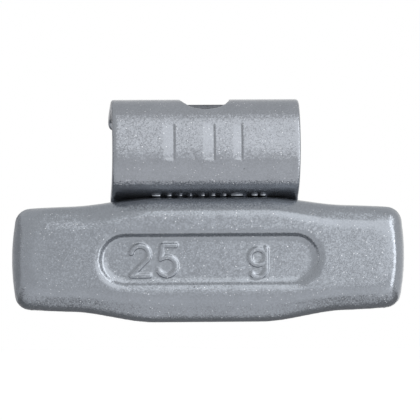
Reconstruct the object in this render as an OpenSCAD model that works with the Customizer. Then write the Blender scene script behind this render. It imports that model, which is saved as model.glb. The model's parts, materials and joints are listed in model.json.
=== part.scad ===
// Clip-on wheel balance weight: a forged steel bar with a spring steel clip crimped into its top edge.
// X runs along the rim, Y points into the wheel and Z points away from the hub.
// The origin is the centre of the clip's round seat, where the rim flange lies.

/* [Clip strip] */
// Width of the spring steel strip
clip_w = 20; // [16:0.5:24]
// Thickness of the strip with its coat
clip_t = 1.0; // [0.8:0.05:1.2]
// Radius that the coat leaves on the strip's long edges
strip_edge_r = 0.3; // [0.15:0.05:0.35]

/* [Clip bends] */
// Inner radius of the round seat
seat_r = 5.0; // [4.5:0.1:6]
// Turn of the seat below the horizontal, from the front down to the neck
seat_down = 66; // [62:1:72]
// Turn of the seat above the horizontal, from the front up to the crown
seat_up = 46.5; // [42:0.5:52]
// Radius of the bend that the neck makes over the lip of the weight
neck_r = 0.9; // [0.8:0.05:1.1]
// Inner radius of the crown
crown_r = 1.25; // [1:0.05:1.5]
// Fall of the roof behind the crown
roof_fall = 17.5; // [12:0.5:24]
// Length of the flat roof
roof_l = 3.8; // [3:0.1:5]
// Inner radius of the bend before the tip
tip_r = 0.7; // [0.5:0.05:1]
// Turn of the bend before the tip
tip_turn = 57.5; // [45:0.5:68]
// Length of the flat tip before its corners begin
tip_l = 0.05; // [0.05:0.05:0.6]
// Radius of the tip's two corners, seen square to the strip
tip_corner_r = 0.7; // [0.6:0.05:1.2]
// Length of the tongue held in the weight
tongue_l = 6.0; // [4:0.1:7.5]

/* [Clip window] */
// Width of the window
window_w = 5.2; // [4:0.1:6]
// Reach of the window's round front end, along the strip from the top of the crown
window_front = 1.75; // [1.2:0.05:2]
// Distance of the window's straight rear edge, along the strip from the top of the crown
window_rear = 1.95; // [1.4:0.05:2.4]
// Radius of the window's two rear corners
window_corner_r = 0.5; // [0.3:0.1:0.8]

/* [Crimp ribs] */
// Number of ribs along the tongue
rib_count = 11; // [7:1:12]
// Distance between ribs
rib_pitch = 1.14; // [1:0.02:1.3]
// Radius of a rib
rib_r = 0.24; // [0.18:0.01:0.28]
// Distance from the strip's middle to the middle of the row
rib_shift = 0.7; // [0:0.1:1.2]
// Length of the ribs below the neck
rib_l = 4.0; // [3:0.1:5]
// Turn of the ribs from the neck up the seat
rib_climb = 6; // [3:1:10]

/* [Weight outline] */
// Length of the weight
body_l = 41.8; // [36:0.1:60]
// Distance from the strip's middle to the weight's middle
body_shift = 0.35; // [0:0.05:0.6]
// Height of the weight at its ends
end_h = 11.55; // [10:0.05:13]
// Rise of the swollen middle above the ends
bulge_top = 0.8; // [0.5:0.05:1.2]
// Drop of the swollen middle below the ends
bulge_bottom = 1.1; // [0.7:0.05:1.5]
// Length over which the middle has its full height
bulge_flat_l = 11.5; // [8:0.5:14]
// Length of each slope from the middle to the ends
bulge_slope_l = 8.7; // [7:0.1:10]
// Fall of the top and bottom edges along the ends
end_taper = 0.45; // [0.2:0.05:0.6]
// Bow of each end
end_bow = 0.3; // [0:0.05:0.6]
// Radius of the outline's corners
corner_r = 1.7; // [1:0.1:2]

/* [Weight section] */
// Thickness of the weight
body_t = 6.35; // [5.8:0.05:7]
// Lean of the weight, which puts its foot behind its lip
body_lean = 8; // [0:0.5:10]
// Wall between the front face and the tongue
front_wall = 3.5; // [3.2:0.05:3.8]
// Width of the sloped band above the front face, over the middle
band_top = 1.65; // [1.4:0.05:2]
// Width of the band above the front face, towards the ends
band_top_end = 2.1; // [1.6:0.05:2.4]
// Width of the sloped band below the front face, under the middle
band_bottom = 3.5; // [2.4:0.05:3.6]
// Width of the band below the front face, towards the ends
band_bottom_end = 3.0; // [2.2:0.05:3.2]
// Width of the sloped band at each end
band_end = 1.4; // [0.9:0.05:1.6]
// Slope of the bands from the front face
band_slope = 48; // [42:1:54]
// Draft of the walls behind the bands
wall_draft = 8; // [3:0.5:9]
// Radius between the front face and the bands
face_edge_r = 0.8; // [0.5:0.05:0.9]
// Radius between the bands and the walls
ridge_r = 1.6; // [1:0.1:1.8]
// Radius of the front face's corners
face_corner_r = 1.0; // [0.7:0.1:1.2]
// Radius round the back face
back_edge_r = 0.5; // [0.3:0.05:0.7]

/* [Mark recess] */
// Length of the recess at half depth
mark_l = 23.2; // [18:0.1:26]
// Height of the recess at half depth
mark_h = 5.25; // [4:0.05:6]
// Rise of the recess above the middle of the weight's height
mark_lift = 0.35; // [0:0.05:0.6]
// Depth of the recess
mark_depth = 0.65; // [0.5:0.05:0.8]
// Slope of the recess wall
mark_slope = 48; // [42:1:54]
// Radius at the rim and at the foot of the recess wall
mark_edge_r = 0.55; // [0.3:0.05:0.6]

/* [Fits] */
// Gap left between the crimped weight and the clip
crimp_gap = 0.02; // [0.01:0.01:0.04]
// Room under the end of the tongue
tongue_room = 0.3; // [0.1:0.1:0.6]

/* [Hidden] */
coat_colour = [0.57, 0.59, 0.62];
clip_colour = [0.60, 0.62, 0.65];
// How far a cutting shape runs past what it cuts
overrun = 1;
// Flat steps in a quarter of a small round edge, in the tip's corners and in the window's round end
edge_steps = 4;
tip_steps = 8;
window_steps = 24;
// Share of the strip's half thickness that the round of its edges may take
edge_share = 0.9;
// Sides of a rib's section, and its flat steps round the neck
rib_sides = 6;
rib_steps = 7;
// Points along half of the weight's outline, and in each corner of it
side_points = 48;
corner_points = 7;
// Heights of the points on each end, as shares of the height to the corner
end_shares = [0.2, 0.5, 0.8];
$fn = 64;

// Radii of the strip's middle line in each bend
tip_edge_r = 0.8 * strip_edge_r;
seat_mid_r = seat_r + clip_t / 2;
neck_mid_r = neck_r + clip_t / 2;
crown_mid_r = crown_r + clip_t / 2;
tip_mid_r = tip_r + clip_t / 2;

// The neck bends round this point, which lies outside the seat, and the weight leans about it too
neck_y = -(seat_mid_r + neck_mid_r) * cos(seat_down);
neck_z = -(seat_mid_r + neck_mid_r) * sin(seat_down);
neck_turn = seat_down - body_lean;

// The strip as steps from the foot of the tongue: [length] is a flat, [radius, turn] is a bend,
// and a positive turn leads towards the front
CLIP_STEPS = [
    [tongue_l],
    [neck_mid_r, neck_turn],
    [seat_mid_r, -(seat_down + seat_up)],
    [crown_mid_r, -(90 - seat_up + roof_fall)],
    [roof_l],
    [tip_mid_r, -tip_turn],
    [tip_l]
];
// Turn between two stations of a bend, at most
bend_step = 6;

// The crown bends round this point, inside the seat, and runs so far along the strip before and behind its top
crown_y = -(seat_mid_r - crown_mid_r) * cos(seat_up);
crown_z = (seat_mid_r - crown_mid_r) * sin(seat_up);
crown_front_l = crown_mid_r * (90 - seat_up) * PI / 180;
crown_rear_l = crown_mid_r * roof_fall * PI / 180;
// Share of the crown's radius that the window's punch reaches inwards
punch_share = 0.9;

// Section of the weight's edge as [inset, depth] points. A turn starts at one slope and ends at another, and a
// slope of 0 runs out along the front face, 90 runs straight back and 180 runs in along the back face
function turn_end(start, radius, from, to) = start + radius * [sin(to) - sin(from), cos(from) - cos(to)];
function turn_points(start, radius, from, to) =
    [for (i = [0:edge_steps]) turn_end(start, radius, from, mix(from, to, i / edge_steps))];
wall_slope = 90 + wall_draft;
face_end = turn_end([0, 0], face_edge_r, 0, band_slope);
band_run = band_top - face_end[0] - ridge_r * (1 - sin(band_slope));
ridge_start = face_end + band_run * [1, tan(band_slope)];
ridge_top = turn_end(ridge_start, ridge_r, band_slope, 90);
ridge_end = turn_end(ridge_start, ridge_r, band_slope, wall_slope);
wall_l = body_t - back_edge_r * (1 + cos(wall_slope)) - ridge_end[1];
wall_end = ridge_end + wall_l * [-tan(wall_draft), 1];
BODY_LEVELS = concat(
    turn_points([0, 0], face_edge_r, 0, band_slope),
    turn_points(ridge_start, ridge_r, band_slope, wall_slope),
    turn_points(wall_end, back_edge_r, wall_slope, 180)
);

// The weight before it leans: its front plane, and heights at which its wall just touches the round lip
tongue_y = neck_y + neck_mid_r;
front_y = tongue_y - clip_t / 2 - crimp_gap - front_wall;
lip_r = neck_r - crimp_gap;
lip_rise = (neck_y - front_y - ridge_top[1]) * tan(wall_draft);
middle_top = neck_z + lip_r / cos(wall_draft) + lip_rise;
end_middle = middle_top - bulge_top - end_h / 2;
bottom_z = end_middle - end_h / 2 - bulge_bottom;

function mix(a, b, share) = a + (b - a) * share;
function clamp_share(v) = max(0, min(1, v));
function ease(v) = v * v * (3 - 2 * v);
function bulge(x) = 1 - ease(clamp_share((abs(x) - bulge_flat_l / 2) / bulge_slope_l));
function taper(x) = end_taper * pow(abs(x) / (body_l / 2), 4);

// Heights of the outline's top and bottom edges at x: share is 0 on the front face and 1 on the walls
function top_edge(x, share) =
    middle_top - bulge_top * (1 - bulge(x)) - taper(x)
    - (1 - share) * mix(band_top_end, band_top, bulge(x));
function bottom_edge(x, share) =
    bottom_z + bulge_bottom * (1 - bulge(x)) + taper(x)
    + (1 - share) * mix(band_bottom_end, band_bottom, bulge(x));

// Half of the outline from the left end to the right end; up is 1 for the top half and -1 for the bottom
function half_outline(share, up) =
    let (
        reach = body_l / 2 - (1 - share) * band_end,
        radius = mix(face_corner_r, corner_r, share),
        flank = reach - end_bow,
        edge = flank - radius,
        edge_z = up > 0 ? top_edge(edge, share) : bottom_edge(edge, share),
        corner_z = edge_z - up * radius,
        end_run = [for (s = end_shares) [flank + end_bow * (1 - s * s), mix(end_middle, corner_z, s)]],
        corner = [for (i = [0:corner_points])
            let (a = 90 * i / corner_points)
            [edge + radius * cos(a), corner_z + up * radius * sin(a)]],
        right = concat(end_run, corner),
        side = [for (i = [1:side_points - 1])
            let (x = edge * (1 - 2 * i / side_points))
            [x, up > 0 ? top_edge(x, share) : bottom_edge(x, share)]],
        left = [for (i = [len(right) - 1:-1:0]) [-right[i][0], right[i][1]]],
        whole = concat(right, side, left)
    )
    [for (i = [len(whole) - 1:-1:0]) whole[i]];

function level_ring(level) =
    let (
        share = level[0] / band_top,
        y = front_y + level[1],
        upper = half_outline(share, 1),
        lower = half_outline(share, -1)
    )
    concat(
        [for (p = upper) [p[0], y, p[1]]],
        [for (i = [len(lower) - 1:-1:0]) [lower[i][0], y, lower[i][1]]]
    );

// A skin over rings that run alike; each ring is an upper half and a mirrored lower half, so its cap is a ladder
module skin(rings) {
    count = len(rings[0]);
    half = count / 2;
    last = (len(rings) - 1) * count;
    walls = [for (k = [0:len(rings) - 2], i = [0:count - 1])
        let (a = k * count + i, b = k * count + (i + 1) % count)
        each [[a, b, b + count], [a, b + count, a + count]]];
    front_cap = [for (i = [0:half - 2])
        let (c = count - 1 - i)
        each [[i, c, c - 1], [i, c - 1, i + 1]]];
    back_cap = [for (i = [0:half - 2])
        let (c = count - 1 - i)
        each [[last + i, last + c - 1, last + c], [last + i, last + i + 1, last + c - 1]]];
    polyhedron(points = [for (r = rings) each r], faces = concat(walls, front_cap, back_cap));
}

// A place on the strip is [y, z, lean], and the strip heads up with its face to the back at no lean
function facing(lean) = [cos(lean), sin(lean)];
function heading(lean) = [-sin(lean), cos(lean)];
function moved(place, along) = [
    place[0] + along * heading(place[2])[0],
    place[1] + along * heading(place[2])[1],
    place[2]
];
function bent(place, radius, turn) =
    let (
        side = turn > 0 ? -radius : radius,
        shift = side * (facing(place[2]) - facing(place[2] + turn))
    )
    [place[0] + shift[0], place[1] + shift[1], place[2] + turn];
// A place that leans with the weight, from its distances behind and above the neck's centre
function leaned(y, z) = [
    neck_y + y * facing(body_lean)[0] + z * heading(body_lean)[0],
    neck_z + y * facing(body_lean)[1] + z * heading(body_lean)[1],
    body_lean
];
function after_step(place, step) = len(step) == 1 ? moved(place, step[0]) : bent(place, step[0], step[1]);

// Every station of the strip from step number first on, without the one it starts at
function stations(place, first = 0) =
    first == len(CLIP_STEPS) ? [] :
    let (
        step = CLIP_STEPS[first],
        count = len(step) == 1 ? 1 : ceil(abs(step[1]) / bend_step),
        here = [for (i = [1:count])
            len(step) == 1 ? moved(place, step[0]) : bent(place, step[0], step[1] * i / count)]
    )
    concat(here, stations(after_step(place, step), first + 1));

// The strip's section at a place, with so much taken off its edges and off its faces
function strip_ring(place, off_edge = 0, off_face = 0) =
    let (
        half_t = clip_t / 2 - off_face,
        radius = min(strip_edge_r, edge_share * half_t),
        flat_t = half_t - radius,
        flat_w = clip_w / 2 - off_edge - radius
    )
    [for (q = [0:3], i = [0:edge_steps])
        let (
            a = 90 * (q + i / edge_steps),
            u = (q == 0 || q == 3 ? flat_t : -flat_t) + radius * cos(a),
            v = (q < 2 ? flat_w : -flat_w) + radius * sin(a)
        )
        [v, place[0] + u * facing(place[2])[0], place[1] + u * facing(place[2])[1]]];

// The far end of the strip: its corners are round seen square to it, and its last edge is round too
function tip_rings(place) =
    [for (i = [1:tip_steps])
        let (
            a = 90 * i / tip_steps,
            left = tip_corner_r * (1 - sin(a)),
            worn = max(0, tip_edge_r - left)
        )
        strip_ring(
            moved(place, tip_corner_r - left),
            tip_corner_r * (1 - cos(a)),
            tip_edge_r - sqrt(tip_edge_r * tip_edge_r - worn * worn)
        )];

// A skin over rings that run alike, with a fan over each end
module tube(rings) {
    count = len(rings[0]);
    last = (len(rings) - 1) * count;
    walls = [for (k = [0:len(rings) - 2], i = [0:count - 1])
        let (a = k * count + i, b = k * count + (i + 1) % count)
        each [[a, b, b + count], [a, b + count, a + count]]];
    start_cap = [for (i = [1:count - 2]) [0, i + 1, i]];
    end_cap = [for (i = [1:count - 2]) [last, last + i, last + i + 1]];
    polyhedron(points = [for (r = rings) each r], faces = concat(walls, start_cap, end_cap));
}

module strip() {
    start = leaned(neck_mid_r, -tongue_l);
    places = concat([start], stations(start));
    tube(concat(
        [for (p = places) strip_ring(p)],
        tip_rings(places[len(places) - 1])
    ));
}

// A place on a bend's middle line, from the bend's centre, its radius and the lean there
function bend_place(y, z, radius, lean) = [y - radius * facing(lean)[0], z - radius * facing(lean)[1], lean];
function turn_along(length, radius) = length / radius * 180 / PI;

// The place on the strip's middle line so far behind the top of the crown, or before it if that is negative
function crown_place(along) =
    along < -crown_front_l ?
        bend_place(0, 0, seat_mid_r, turn_along(-along - crown_front_l, seat_mid_r) - seat_up) :
    along < crown_rear_l ?
        bend_place(crown_y, crown_z, crown_mid_r, -90 - turn_along(along, crown_mid_r)) :
    moved(bend_place(crown_y, crown_z, crown_mid_r, -90 - roof_fall), along - crown_rear_l);

// The window as [across, along] points on the strip: an oval front end and a straight rear edge
function window_outline() =
    let (
        corner_x = window_w / 2 - window_corner_r,
        corner_y = window_rear - window_corner_r,
        round_end = [for (i = [0:window_steps])
            let (a = 180 + 180 * i / window_steps)
            [window_w / 2 * cos(a), window_front * sin(a)]],
        corners = [for (side = [1, -1], i = [0:edge_steps])
            let (a = 90 * i / edge_steps + (side > 0 ? 0 : 90))
            [side * corner_x + window_corner_r * cos(a), corner_y + window_corner_r * sin(a)]]
    )
    concat(round_end, corners);

// The window is punched square to the strip all round
module window_cut() {
    tube([for (reach = [-clip_t / 2 - overrun, punch_share * crown_mid_r])
        [for (p = window_outline())
            let (place = crown_place(p[1]))
            [p[0], place[0] + reach * facing(place[2])[0], place[1] + reach * facing(place[2])[1]]]]);
}

// Stations along a rib: up the front of the tongue, round the neck and onto the seat
function rib_places() =
    let (
        foot = leaned(neck_r, -rib_l),
        bend = moved(foot, rib_l),
        seat = bent(bend, neck_r, neck_turn)
    )
    concat(
        [foot],
        [for (i = [0:rib_steps - 1]) bent(bend, neck_r, neck_turn * (i + 0.5) / rib_steps)],
        [bent(seat, seat_r + clip_t, -rib_climb)]
    );

// The rib's section at a place, so far to the side of the strip's middle
function rib_ring(place, x, radius) =
    [for (i = [0:rib_sides - 1])
        let (
            a = 360 * i / rib_sides,
            u = radius * cos(a),
            v = radius * sin(a)
        )
        [x + v, place[0] + u * facing(place[2])[0], place[1] + u * facing(place[2])[1]]];

// The row of ribs; grow fattens them for their grooves in the weight
module rib_row(grow = 0) {
    for (i = [0:rib_count - 1]) {
        x = rib_shift + (i - (rib_count - 1) / 2) * rib_pitch;
        tube([for (place = rib_places()) rib_ring(place, x, rib_r + grow)]);
    }
}

// The slot that the weight is crimped shut on: it holds the tongue, and its front lip is round under the neck
module tongue_slot() {
    slot_w = clip_w + 2 * crimp_gap;
    slot_front = tongue_y - clip_t / 2 - crimp_gap;
    slot_floor = neck_z - tongue_l - tongue_room;
    translate([-slot_w / 2, slot_front, slot_floor])
        cube([slot_w, clip_t + 2 * crimp_gap, tongue_l + tongue_room + neck_r + overrun]);
    translate([-slot_w / 2, neck_y, neck_z])
        difference() {
            cube([slot_w, neck_r, neck_r + overrun]);
            translate([-overrun, 0, 0])
                rotate([0, 90, 0])
                    cylinder(r = lip_r, h = slot_w + 2 * overrun);
        }
}

// Half a section of the recess, as [distance from its middle line, height over the front face]
function mark_profile() =
    let (
        wall_h = mark_depth - 2 * mark_edge_r * (1 - cos(mark_slope)),
        half_run = mark_edge_r * sin(mark_slope) + wall_h / tan(mark_slope) / 2,
        foot = [mark_h / 2 - half_run, mark_edge_r - mark_depth],
        rim = [mark_h / 2 + half_run, -mark_edge_r]
    )
    concat(
        [[0, -mark_depth]],
        [for (i = [0:edge_steps])
            let (a = mark_slope * i / edge_steps)
            foot + mark_edge_r * [sin(a), -cos(a)]],
        [for (i = [edge_steps:-1:0])
            let (a = mark_slope * i / edge_steps)
            rim + mark_edge_r * [-sin(a), cos(a)]],
        [[rim[0], overrun], [0, overrun]]
    );

// The recess for the mark, a long round-ended dish pressed into the front face
module mark_recess() {
    straight = mark_l - mark_h;
    translate([0, front_y, (middle_top + bottom_z) / 2 + mark_lift])
        rotate([90, 0, 0]) {
            for (side = [0, 1])
                mirror([side, 0, 0])
                    translate([straight / 2, 0, 0])
                        rotate([0, 0, -90])
                            rotate_extrude(angle = 180)
                                polygon(mark_profile());
            for (side = [0, 1])
                mirror([0, side, 0])
                    translate([-straight / 2, 0, 0])
                        rotate([90, 0, 90])
                            linear_extrude(height = straight)
                                polygon(mark_profile());
        }
}

module weight_body() {
    color(coat_colour)
        difference() {
            translate([0, neck_y, neck_z])
                rotate([body_lean, 0, 0])
                    translate([0, -neck_y, -neck_z])
                        difference() {
                            translate([body_shift, 0, 0])
                                difference() {
                                    skin([for (level = BODY_LEVELS) level_ring(level)]);
                                    mark_recess();
                                }
                            tongue_slot();
                        }
            rib_row(crimp_gap);
        }
}

module spring_clip() {
    color(clip_colour)
        difference() {
            union() {
                strip();
                rib_row();
            }
            window_cut();
        }
}

weight_body();
spring_clip();
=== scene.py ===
import json
import math

import bmesh
import bpy
import numpy as np
from mathutils import Matrix, Quaternion, Vector


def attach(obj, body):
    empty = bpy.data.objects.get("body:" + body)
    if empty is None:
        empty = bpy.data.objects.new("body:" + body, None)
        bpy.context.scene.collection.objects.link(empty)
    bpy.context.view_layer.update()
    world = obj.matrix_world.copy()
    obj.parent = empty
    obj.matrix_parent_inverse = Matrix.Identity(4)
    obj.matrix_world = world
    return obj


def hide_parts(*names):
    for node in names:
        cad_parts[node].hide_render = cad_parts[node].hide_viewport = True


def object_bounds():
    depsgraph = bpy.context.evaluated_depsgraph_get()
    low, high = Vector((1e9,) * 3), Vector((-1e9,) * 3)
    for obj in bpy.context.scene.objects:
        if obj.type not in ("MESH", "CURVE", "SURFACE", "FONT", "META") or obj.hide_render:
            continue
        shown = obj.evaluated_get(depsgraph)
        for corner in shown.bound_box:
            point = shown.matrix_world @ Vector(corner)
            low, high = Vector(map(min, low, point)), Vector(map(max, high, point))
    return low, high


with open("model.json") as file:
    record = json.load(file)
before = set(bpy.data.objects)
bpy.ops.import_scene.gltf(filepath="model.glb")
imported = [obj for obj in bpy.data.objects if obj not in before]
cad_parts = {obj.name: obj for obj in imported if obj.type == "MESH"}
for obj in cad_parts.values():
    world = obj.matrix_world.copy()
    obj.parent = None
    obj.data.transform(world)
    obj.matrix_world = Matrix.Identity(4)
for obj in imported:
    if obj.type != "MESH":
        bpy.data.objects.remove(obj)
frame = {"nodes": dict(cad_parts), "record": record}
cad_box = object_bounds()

# The weight
# A bar of forged steel with a long round-ended recess pressed into its front, in which the mark stands up.
# It was dipped and flake coated after forging, so every edge and every stroke of the mark is softened.
MM = 0.001
# The skin of small cells that carries the coat's form, and how often the coat is smoothed
WELD_GAP = 0.001 * MM
COAT_CELL = 0.17 * MM
COAT_ROUNDS = 8
COAT_FLOW = 0.5
# The ends are worn rounder than the rest, from this far out
SOFT_ENDS = 17.6 * MM
SOFT_ROUNDS = 70
SOFT_FACING = 0.05
# The raised mark, with the left edge of each figure from the middle of the weight
MARK_HEIGHT = 3.25 * MM
MARK_RISE = 0.19 * MM
MARK_FLAT = 0.14 * MM
MARK_WALL = 0.22 * MM
MARK_LIFT = 0.2 * MM
MARK_SPAN = 9 * MM
MARK_REACH = 0.6 * MARK_HEIGHT
MARK_FACING = 0.5
MARK_PLACES = {"2": -8.4 * MM, "5": -5.5 * MM, "g": 4.2 * MM}
# Pinholes in the coat, each by its X and Z
HOLE_FACING = 0.2
WEIGHT_PINHOLES = [(-1.27 * MM, -14.93 * MM), (-20.27 * MM, -9.17 * MM), (-20.1 * MM, -15.04 * MM)]


def bake(piece):
    """Makes what the piece's modifiers show its own mesh."""
    shown = piece.evaluated_get(bpy.context.evaluated_depsgraph_get())
    piece.data = bpy.data.meshes.new_from_object(shown)
    piece.modifiers.clear()


def flow(piece, rounds):
    """Lets the coat flow out of corners and off edges, once the piece is baked."""
    smooth = piece.modifiers.new("flow", "SMOOTH")
    smooth.factor = COAT_FLOW
    smooth.iterations = rounds
    return smooth


def coated(node, name, cell, rounds):
    """The node's solid under an even skin of small cells, smoothed as a thick coat fills its corners."""
    mesh = frame["nodes"][node].data.copy()
    mesh.materials.clear()
    solid = bmesh.new()
    solid.from_mesh(mesh)
    bmesh.ops.remove_doubles(solid, verts=solid.verts, dist=WELD_GAP)
    solid.to_mesh(mesh)
    solid.free()
    piece = bpy.data.objects.new(name, mesh)
    bpy.context.scene.collection.objects.link(piece)
    skin = piece.modifiers.new("skin", "REMESH")
    skin.mode = "VOXEL"
    skin.voxel_size = cell
    skin.use_smooth_shade = True
    flow(piece, rounds)
    bake(piece)
    return piece


def soften(piece, inside, rounds):
    """Rounds off the edges of the piece among its points that are inside."""
    worn = piece.vertex_groups.new(name="worn")
    worn.add(np.flatnonzero(inside).tolist(), 1, "REPLACE")
    flow(piece, rounds).vertex_group = worn.name
    bake(piece)
    piece.vertex_groups.clear()


def finer(piece, inside):
    """Halves the cells of the piece whose points are all inside, so that small relief there is crisp."""
    mesh = bmesh.new()
    mesh.from_mesh(piece.data)
    mesh.verts.ensure_lookup_table()
    edges = [edge for edge in mesh.edges if inside[edge.verts[0].index] and inside[edge.verts[1].index]]
    bmesh.ops.subdivide_edges(mesh, edges=edges, cuts=1, use_grid_fill=True)
    mesh.to_mesh(piece.data)
    mesh.free()


def points_of(piece):
    """The places and normals of a piece's points, as two arrays."""
    places = np.empty(len(piece.data.vertices) * 3)
    normals = np.empty_like(places)
    piece.data.vertices.foreach_get("co", places)
    piece.data.vertices.foreach_get("normal", normals)
    return places.reshape(-1, 3), normals.reshape(-1, 3)


def put_points(piece, places):
    """Moves the piece's points to these places."""
    piece.data.vertices.foreach_set("co", places.ravel())
    piece.data.update()


def pinholes(piece, spots):
    """How bare each point is: 1 at the front point nearest to each spot's X and Z, and 0 elsewhere."""
    places, normals = points_of(piece)
    darkened = np.zeros(len(places))
    turned_away = normals[:, 1] > -HOLE_FACING
    for x, z in spots:
        darkened[(np.hypot(places[:, 0] - x, places[:, 2] - z) + turned_away).argmin()] = 1
    return darkened


def lay_darkened(piece, darkened):
    """Stores how far the piece's points are painted dark, for its material."""
    piece.data.attributes.new("darkened", "FLOAT", "POINT").data.foreach_set("value", darkened)


def ease(share):
    """0 below 0, 1 above 1, and a smooth rise between."""
    share = np.clip(share, 0, 1)
    return share * share * (3 - 2 * share)


def arc(centre, radius, first, last, steps=14):
    """Points of an arc between two angles in degrees, anticlockwise from the right."""
    turns = [math.radians(first + (last - first) * i / steps) for i in range(steps + 1)]
    return [(centre[0] + radius * math.cos(t), centre[1] + radius * math.sin(t)) for t in turns]


def stroke_height(across, up, line, flat, wall):
    """How high a stroke stands at each point, from 0 to 1, with sloping walls beside its flat middle."""
    nearest = np.full(len(across), np.inf)
    for (x0, y0), (x1, y1) in zip(line, line[1:]):
        along_x, along_y = x1 - x0, y1 - y0
        share = ((across - x0) * along_x + (up - y0) * along_y) / (along_x**2 + along_y**2)
        share = np.clip(share, 0, 1)
        gap = np.hypot(across - x0 - share * along_x, up - y0 - share * along_y)
        nearest = np.minimum(nearest, gap)
    return ease(1 - (nearest - flat) / wall)


# Each figure's centre lines, as shares of its height
FIGURE_SHARES = {
    "2": [arc((0.31, 0.70), 0.29, 170, -38) + [(0.03, 0.0), (0.62, 0.0)]],
    "5": [[(0.58, 1.0), (0.15, 1.0), (0.09, 0.55)] + arc((0.30, 0.31), 0.31, 122, -150)],
    "g": [
        arc((0.29, 0.60), 0.26, 0, 360, 24),
        [(0.56, 0.88), (0.56, 0.22)] + arc((0.30, 0.20), 0.26, 0, -140),
    ],
}

weight = coated("weight_body", "steel_weight", COAT_CELL, COAT_ROUNDS)
rim_face = next(m for m in frame["record"]["mounts"] if m["name"] == "rim_face")
face_back = Vector(rim_face["axis"])
face_up = Vector((0, -face_back.z, face_back.y))


def on_face(piece):
    """Where the piece's points lie across and up the weight's face, and how far each one faces the front."""
    places, normals = points_of(piece)
    from_middle = places - np.array(rim_face["pos_m"])
    return places, from_middle[:, 0], from_middle @ np.array(face_up), -(normals @ np.array(face_back))


places, across, up, fronts = on_face(weight)
soften(weight, (fronts > SOFT_FACING) & (np.abs(across) > SOFT_ENDS), SOFT_ROUNDS)
beside_mark = (np.abs(across) < MARK_SPAN) & (np.abs(up - MARK_LIFT) < MARK_REACH)
finer(weight, (fronts > MARK_FACING) & beside_mark)
places, across, up, fronts = on_face(weight)
rise = np.zeros(len(places))
for figure, left in MARK_PLACES.items():
    for line in FIGURE_SHARES[figure]:
        line = [(left + x * MARK_HEIGHT, MARK_LIFT + (y - 0.5) * MARK_HEIGHT) for x, y in line]
        rise = np.maximum(rise, stroke_height(across, up, line, MARK_FLAT, MARK_WALL))
rise[fronts < MARK_FACING] = 0
put_points(weight, places - np.outer(rise * MARK_RISE, np.array(face_back)))
lay_darkened(weight, pinholes(weight, WEIGHT_PINHOLES))

# The widths of the fine and the coarse flakes, how rare the bright ones among them are, and how far a bright
# one reaches from its middle
FINE_FLAKE = 0.11 * MM
COARSE_FLAKE = 0.24 * MM
FINE_RARITY = 0.975
COARSE_RARITY = 0.998
RARITY_STEP = 0.01
FLAKE_REACH = (0.25, 0.5)
FLAKE_COLOUR = (0.60, 0.61, 0.63, 1)
FLAKE_GLOSS = 0.12
# The coat's uneven shade, in wide clouds and in fine grain, and the ripple of its surface
CLOUD_WIDTH = 2.5 * MM
CLOUD_SHADES = (0.97, 1.03)
GRAIN_WIDTH = 0.2 * MM
GRAIN_SHADES = (0.94, 1.06)
NOISE_ENDS = (0.3, 0.7)
RIPPLE_WIDTH = 1.1 * MM
RIPPLE_DEPTH = 0.012 * MM


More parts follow.
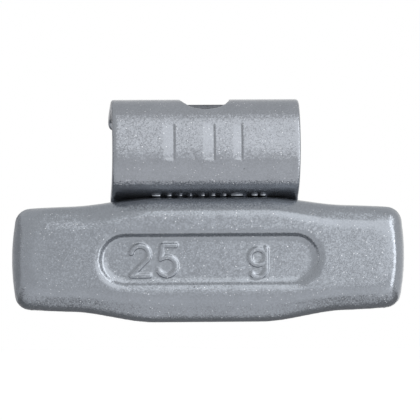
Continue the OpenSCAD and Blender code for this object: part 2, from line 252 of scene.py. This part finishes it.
def flake_group():
    """A group for the flake coat: fine flakes that each lean their own way, a few of them bright."""
    group = bpy.data.node_groups.new("flake coat", "ShaderNodeTree")
    face = group.interface
    face.new_socket("Colour", in_out="INPUT", socket_type="NodeSocketColor")
    face.new_socket("Roughness", in_out="INPUT", socket_type="NodeSocketFloat")
    face.new_socket("Flake Tilt", in_out="INPUT", socket_type="NodeSocketFloat")
    face.new_socket("Colour", in_out="OUTPUT", socket_type="NodeSocketColor")
    face.new_socket("Roughness", in_out="OUTPUT", socket_type="NodeSocketFloat")
    face.new_socket("Normal", in_out="OUTPUT", socket_type="NodeSocketVector")
    nodes, links = group.nodes, group.links
    given = nodes.new("NodeGroupInput")
    out = nodes.new("NodeGroupOutput")
    place = nodes.new("ShaderNodeTexCoord")
    surface = nodes.new("ShaderNodeNewGeometry")

    def texture(kind, width):
        node = nodes.new(kind)
        node.inputs["Scale"].default_value = 1 / width
        links.new(place.outputs["Object"], node.inputs["Vector"])
        return node

    def math_node(operation, first, second):
        node = nodes.new("ShaderNodeMath")
        node.operation = operation
        for socket, value in zip(node.inputs, (first, second)):
            if isinstance(value, (int, float)):
                socket.default_value = value
            else:
                links.new(value, socket)
        return node.outputs[0]

    def vector_node(operation, first, second):
        node = nodes.new("ShaderNodeVectorMath")
        node.operation = operation
        for socket, value in zip(node.inputs, (first, second)):
            if isinstance(value, tuple):
                socket.default_value = value
            else:
                links.new(value, socket)
        return node

    def spread(value, ends, to_ends):
        node = nodes.new("ShaderNodeMapRange")
        node.interpolation_type = "SMOOTHSTEP"
        for name, number in zip(("From Min", "From Max", "To Min", "To Max"), ends + to_ends):
            node.inputs[name].default_value = number
        links.new(value, node.inputs["Value"])
        return node.outputs["Result"]

    fine = texture("ShaderNodeTexVoronoi", FINE_FLAKE)
    coarse = texture("ShaderNodeTexVoronoi", COARSE_FLAKE)
    cloud = texture("ShaderNodeTexNoise", CLOUD_WIDTH)
    grain = texture("ShaderNodeTexNoise", GRAIN_WIDTH)
    ripple = texture("ShaderNodeTexNoise", RIPPLE_WIDTH)

    def bright_ones(flakes, rarity):
        pick = nodes.new("ShaderNodeSeparateColor")
        links.new(flakes.outputs["Color"], pick.inputs["Color"])
        lucky = spread(pick.outputs["Blue"], (rarity, rarity + RARITY_STEP), (0, 1))
        core = spread(flakes.outputs["Distance"], FLAKE_REACH, (1, 0))
        return math_node("MULTIPLY", lucky, core)

    bright = math_node("MAXIMUM", bright_ones(fine, FINE_RARITY), bright_ones(coarse, COARSE_RARITY))
    shade = math_node(
        "MULTIPLY",
        spread(cloud.outputs["Fac"], NOISE_ENDS, CLOUD_SHADES),
        spread(grain.outputs["Fac"], NOISE_ENDS, GRAIN_SHADES),
    )
    tone = vector_node("SCALE", given.outputs["Colour"], (0, 0, 0))
    links.new(shade, tone.inputs["Scale"])
    paint = nodes.new("ShaderNodeMix")
    paint.data_type = "RGBA"
    links.new(bright, paint.inputs["Factor"])
    links.new(tone.outputs["Vector"], paint.inputs["A"])
    paint.inputs["B"].default_value = FLAKE_COLOUR
    links.new(paint.outputs["Result"], out.inputs["Colour"])

    smoother = math_node("MULTIPLY", bright, FLAKE_GLOSS)
    links.new(math_node("SUBTRACT", given.outputs["Roughness"], smoother), out.inputs["Roughness"])

    lean = vector_node("SUBTRACT", fine.outputs["Color"], (0.5, 0.5, 0.5))
    tilt = vector_node("SCALE", lean.outputs["Vector"], (0, 0, 0))
    links.new(given.outputs["Flake Tilt"], tilt.inputs["Scale"])
    turned = vector_node("ADD", surface.outputs["Normal"], tilt.outputs["Vector"])
    even = vector_node("NORMALIZE", turned.outputs["Vector"], (0, 0, 0))
    bump = nodes.new("ShaderNodeBump")
    bump.inputs["Strength"].default_value = 1
    bump.inputs["Distance"].default_value = RIPPLE_DEPTH
    links.new(ripple.outputs["Fac"], bump.inputs["Height"])
    links.new(even.outputs["Vector"], bump.inputs["Normal"])
    links.new(bump.outputs["Normal"], out.inputs["Normal"])
    return group


WEIGHT_COLOUR = (0.234, 0.253, 0.280, 1)
WEIGHT_ROUGHNESS = 0.22
WEIGHT_TILT = 0.13
COAT_METALLIC = 0.92
COAT_GLOSS = 0.35
COAT_GLOSS_ROUGHNESS = 0.14
# The dark steel colour of pinholes in the coat, also painted on the clip's window edge to darken it
DARKENED_COLOUR = (0.07, 0.075, 0.085, 1)
flake_coat = flake_group()


def coat_material(name, colour, roughness, tilt):
    """A flake coat under a thin clear gloss, with a dark steel colour where a mesh marks its points: the
    coat's pinholes, and the clip's window edge, which is painted dark.
    """
    material = bpy.data.materials.new(name)
    material.use_nodes = True
    nodes, links = material.node_tree.nodes, material.node_tree.links
    shader = nodes["Principled BSDF"]
    shader.inputs["Metallic"].default_value = COAT_METALLIC
    shader.inputs["Coat Weight"].default_value = COAT_GLOSS
    shader.inputs["Coat Roughness"].default_value = COAT_GLOSS_ROUGHNESS
    flakes = nodes.new("ShaderNodeGroup")
    flakes.node_tree = flake_coat
    flakes.inputs["Colour"].default_value = colour
    flakes.inputs["Roughness"].default_value = roughness
    flakes.inputs["Flake Tilt"].default_value = tilt
    darkened = nodes.new("ShaderNodeAttribute")
    darkened.attribute_name = "darkened"
    paint = nodes.new("ShaderNodeMix")
    paint.data_type = "RGBA"
    paint.inputs["B"].default_value = DARKENED_COLOUR
    links.new(darkened.outputs["Fac"], paint.inputs["Factor"])
    links.new(flakes.outputs["Colour"], paint.inputs["A"])
    links.new(paint.outputs["Result"], shader.inputs["Base Color"])
    links.new(flakes.outputs["Roughness"], shader.inputs["Roughness"])
    links.new(flakes.outputs["Normal"], shader.inputs["Normal"])
    return material


weight.data.materials.append(coat_material("weight coat", WEIGHT_COLOUR, WEIGHT_ROUGHNESS, WEIGHT_TILT))
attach(weight, "root")
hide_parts("weight_body")

# The clip
# A strip of spring steel, bent round a former into a hook and crimped into the weight's top edge. Three bars
# are struck into its front. Its coat ran into beads along the foot, and the window's punched rear edge is
# painted dark.
CLIP_CELL = 0.13 * MM
CLIP_ROUNDS = 6
# How far a point has to face the front, and how far forward it lies, to be on the clip's round front
CLIP_FACING = 0.4
FRONT_Y = -4 * MM
# Left and right edge of each bar from the clip's middle
BAR_PLACES = [(-4.59 * MM, -3.5 * MM), (-0.4 * MM, 0.76 * MM), (2.85 * MM, 3.69 * MM)]
BAR_DEPTH = 0.15 * MM
BAR_WALL = 0.16 * MM
BAR_FOOT = -1.5 * MM
BAR_TOP = 2.45 * MM
BAR_END = 0.3 * MM
BAR_MARGIN = 1 * MM
# The middle and half the width of each bead
BEADS = [
    (-5.22 * MM, 0.50 * MM), (-3.81 * MM, 0.27 * MM), (-2.62 * MM, 0.18 * MM), (-1.56 * MM, 0.13 * MM),
    (-0.25 * MM, 0.22 * MM), (0.86 * MM, 0.25 * MM), (2.05 * MM, 0.22 * MM), (3.36 * MM, 0.68 * MM),
    (5.25 * MM, 0.36 * MM), (6.15 * MM, 0.32 * MM),
]
BEAD_Y = -3.12 * MM
BEAD_Z = -5.2 * MM
BEAD_DEEP = 0.17 * MM
BEAD_TALL = 0.15 * MM
BEAD_STEPS = (20, 12)
# Where the window's punched rear edge lies
WINDOW_HALF = 2.8 * MM
WINDOW_Y = (-1.2 * MM, -0.2 * MM)
WINDOW_Z = 3.7 * MM
WINDOW_FACING = 0.6
CLIP_PINHOLES = [(3.91 * MM, -2.41 * MM), (-9.75 * MM, 4.6 * MM)]
CLIP_COLOUR = (0.242, 0.257, 0.282, 1)
CLIP_ROUGHNESS = 0.22
CLIP_TILT = 0.15

clip = coated("spring_clip", "sprung_clip", CLIP_CELL, CLIP_ROUNDS)


def on_front():
    """The places and normals of the clip's points, and which of them are on its round front."""
    places, normals = points_of(clip)
    return places, normals, (normals[:, 1] < -CLIP_FACING) & (places[:, 1] < FRONT_Y)


places, normals, outer = on_front()
x, z = places[:, 0], places[:, 2]
beside_bars = (x > BAR_PLACES[0][0]) & (x < BAR_PLACES[-1][1] + BAR_MARGIN) & (z > BAR_FOOT) & (z < BAR_TOP)
finer(clip, outer & beside_bars)
places, normals, outer = on_front()
x, z = places[:, 0], places[:, 2]
length = ease((z - BAR_FOOT) / BAR_END) * ease((BAR_TOP - z) / BAR_END)
depth = np.zeros(len(places))
for left, right in BAR_PLACES:
    ramp = np.clip((x - left) / (right - left), 0, 1)
    depth = np.maximum(depth, ramp * ease(1 - (x - right) / BAR_WALL) * length)
depth[~outer] = 0
put_points(clip, places - normals * (depth * BAR_DEPTH)[:, None])

beads = bmesh.new()
beads.from_mesh(clip.data)
for middle_x, half in BEADS:
    shape = Matrix.Translation((middle_x, BEAD_Y, BEAD_Z)) @ Matrix.Diagonal((half, BEAD_DEEP, BEAD_TALL, 1))
    made = bmesh.ops.create_uvsphere(
        beads, u_segments=BEAD_STEPS[0], v_segments=BEAD_STEPS[1], radius=1, matrix=shape
    )
    for face in {face for point in made["verts"] for face in point.link_faces}:
        face.smooth = True
beads.to_mesh(clip.data)
beads.free()

places, normals = points_of(clip)
x, y, z = places.T
# The faces of the window's punched rear edge are painted dark, in the pinholes' dark steel colour
punched = (np.abs(x) < WINDOW_HALF) & (y > WINDOW_Y[0]) & (y < WINDOW_Y[1]) & (z > WINDOW_Z)
punched &= normals[:, 1] < -WINDOW_FACING
lay_darkened(clip, np.maximum(pinholes(clip, CLIP_PINHOLES), punched))
clip.data.materials.append(coat_material("clip coat", CLIP_COLOUR, CLIP_ROUGHNESS, CLIP_TILT))
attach(clip, "root")
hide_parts("spring_clip")

# The stage
# A pale floor far below the part in an even pale world, both white to the camera. Two lamps like windows
# stand before the part, a tall one to its right draws bright lines, and grey screens darken its left and
# the faces that look down.
FLOOR_DROP = 130 * MM
FLOOR_HALF = 3.0
FLOOR_LIFT = 0.45
WORLD_LIGHT = 0.62
WHITE = (1, 1, 1, 1)
PALE = (0.86, 0.86, 0.87, 1)
MATT_ROUGHNESS = 0.9

low, high = cad_box
middle = (low + high) / 2


def seen_rays(nodes, links):
    """1 for what the camera, a mirror or a glass sees, and 0 for the light that falls on the part."""
    path = nodes.new("ShaderNodeLightPath")
    seen = path.outputs["Is Camera Ray"]
    for ray in ("Is Glossy Ray", "Is Transmission Ray"):
        either = nodes.new("ShaderNodeMath")
        either.operation = "MAXIMUM"
        links.new(seen, either.inputs[0])
        links.new(path.outputs[ray], either.inputs[1])
        seen = either.outputs[0]
    return seen


world = bpy.data.worlds.new("studio")
bpy.context.scene.world = world
world.use_nodes = True
air_nodes, air_links = world.node_tree.nodes, world.node_tree.links
soft_air = air_nodes["Background"]
soft_air.inputs["Color"].default_value = WHITE
soft_air.inputs["Strength"].default_value = WORLD_LIGHT
white_air = air_nodes.new("ShaderNodeBackground")
white_air.inputs["Color"].default_value = WHITE
white_air.inputs["Strength"].default_value = 1
air = air_nodes.new("ShaderNodeMixShader")
air_links.new(seen_rays(air_nodes, air_links), air.inputs["Fac"])
air_links.new(soft_air.outputs["Background"], air.inputs[1])
air_links.new(white_air.outputs["Background"], air.inputs[2])
air_links.new(air.outputs["Shader"], air_nodes["World Output"].inputs["Surface"])


def matt_material(name, colour):
    """A plain matt colour for the floor and the screens."""
    material = bpy.data.materials.new(name)
    material.use_nodes = True
    shader = material.node_tree.nodes["Principled BSDF"]
    shader.inputs["Base Color"].default_value = colour
    shader.inputs["Roughness"].default_value = MATT_ROUGHNESS
    return material


def sheet(name, size, turned, place, material):
    """A flat stage piece: a sheet in X and Y that is turned and then set at its place."""
    mesh = bpy.data.meshes.new(name)
    flat = bmesh.new()
    bmesh.ops.create_grid(flat, x_segments=1, y_segments=1, size=0.5)
    bmesh.ops.scale(flat, verts=flat.verts, vec=(*size, 1))
    flat.transform(turned.to_matrix().to_4x4())
    bmesh.ops.translate(flat, verts=flat.verts, vec=place)
    flat.to_mesh(mesh)
    flat.free()
    mesh.materials.append(material)
    stood = bpy.data.objects.new(name, mesh)
    bpy.context.scene.collection.objects.link(stood)
    return stood


pale = matt_material("pale floor", PALE)
lift = pale.node_tree.nodes.new("ShaderNodeMath")
lift.operation = "MULTIPLY"
lift.inputs[1].default_value = FLOOR_LIFT
pale.node_tree.links.new(seen_rays(pale.node_tree.nodes, pale.node_tree.links), lift.inputs[0])
pale_shader = pale.node_tree.nodes["Principled BSDF"]
pale_shader.inputs["Emission Color"].default_value = WHITE
pale.node_tree.links.new(lift.outputs["Value"], pale_shader.inputs["Emission Strength"])
sheet("floor", (2 * FLOOR_HALF, 2 * FLOOR_HALF), Quaternion(), Vector((0, 0, low.z - FLOOR_DROP)), pale)


def direction(azimuth, elevation):
    """The way from the part at an azimuth, 0 before it and 90 to its right, and an elevation, in degrees."""
    turn, rise = math.radians(azimuth), math.radians(elevation)
    return Vector((math.sin(turn) * math.cos(rise), -math.cos(turn) * math.cos(rise), math.sin(rise)))


def lamp(name, place, away, size, radiance):
    """A flat rectangular lamp at a place, whose back looks the away way."""
    light = bpy.data.lights.new(name, "AREA")
    light.shape = "RECTANGLE"
    light.size, light.size_y = size
    light.energy = radiance * math.pi * size[0] * size[1]
    stand = bpy.data.objects.new(name, light)
    stand.location = place
    stand.rotation_mode = "QUATERNION"
    stand.rotation_quaternion = away.to_track_quat("Z", "Y")
    bpy.context.scene.collection.objects.link(stand)


# The low lamp goes on below the front lamp and ends just under the part, so that the weight's leaning face
# lies at its edge
FRONT_LAMP_PLACE = Vector((0.148, -0.28, 0.235))
FRONT_LAMP_SIZE = (0.3, 0.55)
FRONT_LAMP_RADIANCE = 1.08
LOW_LAMP_PLACE = Vector((0.163, -0.28, -0.081))
LOW_LAMP_SIZE = (0.27, 0.08)
LOW_LAMP_RADIANCE = 1.05
STRIP_AZIMUTH = 60
STRIP_DISTANCE = 0.2
STRIP_LIFT = 0.03
STRIP_SIZE = (0.075, 0.34)
STRIP_RADIANCE = 2.7
front = direction(0, 0)
strip_way = direction(STRIP_AZIMUTH, 0)
strip_place = strip_way * STRIP_DISTANCE + Vector((0, 0, STRIP_LIFT))
lamp("front lamp", FRONT_LAMP_PLACE, front, FRONT_LAMP_SIZE, FRONT_LAMP_RADIANCE)
lamp("low lamp", LOW_LAMP_PLACE, front, LOW_LAMP_SIZE, LOW_LAMP_RADIANCE)
lamp("right strip", strip_place, strip_way, STRIP_SIZE, STRIP_RADIANCE)

SIDE_AZIMUTH = -134
SIDE_DISTANCE = 0.3
SIDE_SIZE = (0.6, 0.4)
SIDE_GREY = (0.8, 0.8, 0.81, 1)
LOWER_Y = 0.13
LOWER_DROP = 0.9 * FLOOR_DROP
LOWER_SIZE = (0.5, 0.3)
LOWER_GREY = (0.4, 0.4, 0.405, 1)
side_way = direction(SIDE_AZIMUTH, 0)
side_screen = sheet(
    "left screen", SIDE_SIZE, side_way.to_track_quat("Z", "Y"), middle + side_way * SIDE_DISTANCE,
    matt_material("light grey screen", SIDE_GREY),
)
side_screen.visible_camera = False
lower_screen = sheet(
    "lower screen", LOWER_SIZE, Quaternion(), Vector((0, LOWER_Y, low.z - LOWER_DROP)),
    matt_material("grey screen", LOWER_GREY),
)
lower_screen.visible_camera = False
# The floor under it stays as pale as the rest
lower_screen.visible_diffuse = False
lower_screen.visible_shadow = False

# The camera
# It stands far back, level with the part and a little to its left, with a long lens for its distance, and
# leans by a fraction of a degree.
CAMERA_AZIMUTH = -4.0
CAMERA_ELEVATION = 1.0
CAMERA_ROLL = 0.27
CAMERA_DISTANCE = 0.6
CAMERA_REACH = (0.01, 20)
SENSOR_WIDTH = 36
FIELD = 44.83 * MM
AIM = Vector((0.71 * MM, 0, -6.82 * MM))

camera = bpy.data.objects.new("camera", bpy.data.cameras.new("camera"))
camera.data.sensor_width = SENSOR_WIDTH
camera.data.lens = SENSOR_WIDTH * CAMERA_DISTANCE / FIELD
back = direction(CAMERA_AZIMUTH, CAMERA_ELEVATION)
camera.location = AIM + back * CAMERA_DISTANCE
camera.rotation_mode = "QUATERNION"
camera.rotation_quaternion = back.to_track_quat("Z", "Y")
camera.rotation_quaternion.rotate(Quaternion(back, math.radians(-CAMERA_ROLL)))
camera.data.clip_start, camera.data.clip_end = CAMERA_REACH
bpy.context.scene.collection.objects.link(camera)
bpy.context.scene.camera = camera
bpy.context.scene.view_settings.view_transform = "Standard"
